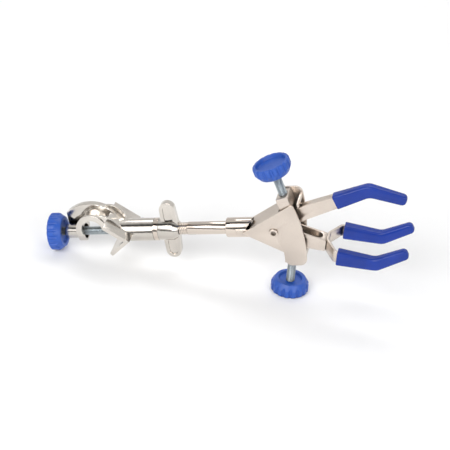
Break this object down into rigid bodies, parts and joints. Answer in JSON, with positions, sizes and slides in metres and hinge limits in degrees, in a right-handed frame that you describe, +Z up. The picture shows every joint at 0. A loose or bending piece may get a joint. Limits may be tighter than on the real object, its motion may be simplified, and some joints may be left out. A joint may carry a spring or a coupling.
{
  "type": "boss head clamp",
  "caption": "Laboratory extension clamp with two blue knobs on its jaws, a rod with a wing nut, and a swivel boss head with a hook and a V jaw.",
  "frame": {"origin": "centre of the lower knob's outer face, which lies flat on the table", "axes": "+Z up, +X level along the clamp towards the prongs, +Y to the far side"},
  "size_m": [0.2541, 0.0424, 0.1041],
  "materials": {
    "cast": "satin nickel plate over a cast body",
    "plated": "nickel plated sheet and turned steel",
    "zinc": "zinc plated screws and spring",
    "knob_blue": "moulded plastic",
    "sleeve_blue": "glossy dipped vinyl"
  },
  "bodies": {
    "clamp": {"front_housing": "plated", "rear_housing": "plated", "pivot_rivet": "plated", "pivot_spacers": "plated", "return_spring": "zinc", "upper_nut_block": "plated", "lower_nut_block": "plated", "ferrule": "plated", "extension_rod": "plated"},
    "boss": {"boss_head": "cast", "rod_stop_pin": "zinc"},
    "boss_screw": {"boss_screw": "zinc"},
    "boss_knob": {"boss_knob": "knob_blue"},
    "washer": {"swivel_washer": "plated"},
    "wing_nut": {"wing_nut": "plated"},
    "upper_screw": {"upper_screw": "zinc"},
    "upper_knob": {"upper_knob": "knob_blue"},
    "lower_screw": {"lower_screw": "zinc"},
    "lower_knob": {"lower_knob": "knob_blue"},
    "upper_arm": {"upper_arm": "plated", "upper_arm_pin": "zinc", "upper_sleeve": "sleeve_blue"},
    "lower_arm": {"lower_arm": "plated", "lower_arm_pin": "zinc", "fork": "plated", "front_sleeve": "sleeve_blue", "rear_sleeve": "sleeve_blue"}
  },
  "joints": [
    {"name": "boss_swivel", "type": "hinge", "parent": "clamp", "child": "boss", "pos_m": [-0.10767, 0, 0.02748], "axis": [0.9744, 0, 0.225], "continuous": true},
    {"name": "boss_screw_travel", "type": "slide", "parent": "boss", "child": "boss_screw", "axis": [-0.9744, 0, -0.225], "range_m": [-0.0007, 0.01401]},
    {"name": "boss_knob_turn", "type": "hinge", "parent": "boss_screw", "child": "boss_knob", "pos_m": [-0.16282, 0, 0.01475], "axis": [-0.9744, 0, -0.225], "range_deg": [-250, 5040]},
    {"name": "washer_travel", "type": "slide", "parent": "clamp", "child": "washer", "axis": [0.9744, 0, 0.225], "range_m": [0, 0.005]},
    {"name": "wing_nut_turn", "type": "hinge", "parent": "washer", "child": "wing_nut", "pos_m": [-0.0876, 0, 0.03211], "axis": [0.9744, 0, 0.225], "range_deg": [0, 1440]},
    {"name": "upper_screw_travel", "type": "slide", "parent": "clamp", "child": "upper_screw", "axis": [-0.4384, 0, 0.8988], "range_m": [-0.00296, 0.00131]},
    {"name": "upper_knob_turn", "type": "hinge", "parent": "upper_screw", "child": "upper_knob", "pos_m": [-0.01841, 0, 0.09009], "axis": [-0.4384, 0, 0.8988], "range_deg": [-1065, 470]},
    {"name": "upper_arm_pivot", "type": "hinge", "parent": "clamp", "child": "upper_arm", "pos_m": [-0.01413, 0, 0.04908], "axis": [0, -1, 0], "range_deg": [-12.05, 5.35], "deforming": ["return_spring"]},
    {"name": "lower_screw_travel", "type": "slide", "parent": "clamp", "child": "lower_screw", "axis": [0, 0, -1], "range_m": [-0.00296, 0.00131]},
    {"name": "lower_knob_turn", "type": "hinge", "parent": "lower_screw", "child": "lower_knob", "pos_m": [0, 0, 0.01034], "axis": [0, 0, -1], "range_deg": [-1065, 470]},
    {"name": "lower_arm_pivot", "type": "hinge", "parent": "clamp", "child": "lower_arm", "pos_m": [-0.01413, 0, 0.04908], "axis": [0, 1, 0], "range_deg": [-12.05, 5.35]}
  ],
  "couplings": [
    {"joint": "boss_screw_travel", "follows": "boss_knob_turn", "m_per_rad": 0.00015915},
    {"joint": "washer_travel", "follows": "wing_nut_turn", "m_per_rad": 0.00019894},
    {"joint": "upper_screw_travel", "follows": "upper_knob_turn", "m_per_rad": 0.00015915},
    {"joint": "upper_arm_pivot", "follows": "upper_knob_turn", "ratio": 0.011265},
    {"joint": "lower_screw_travel", "follows": "lower_knob_turn", "m_per_rad": 0.00015915},
    {"joint": "lower_arm_pivot", "follows": "lower_knob_turn", "ratio": 0.011265}
  ]
}
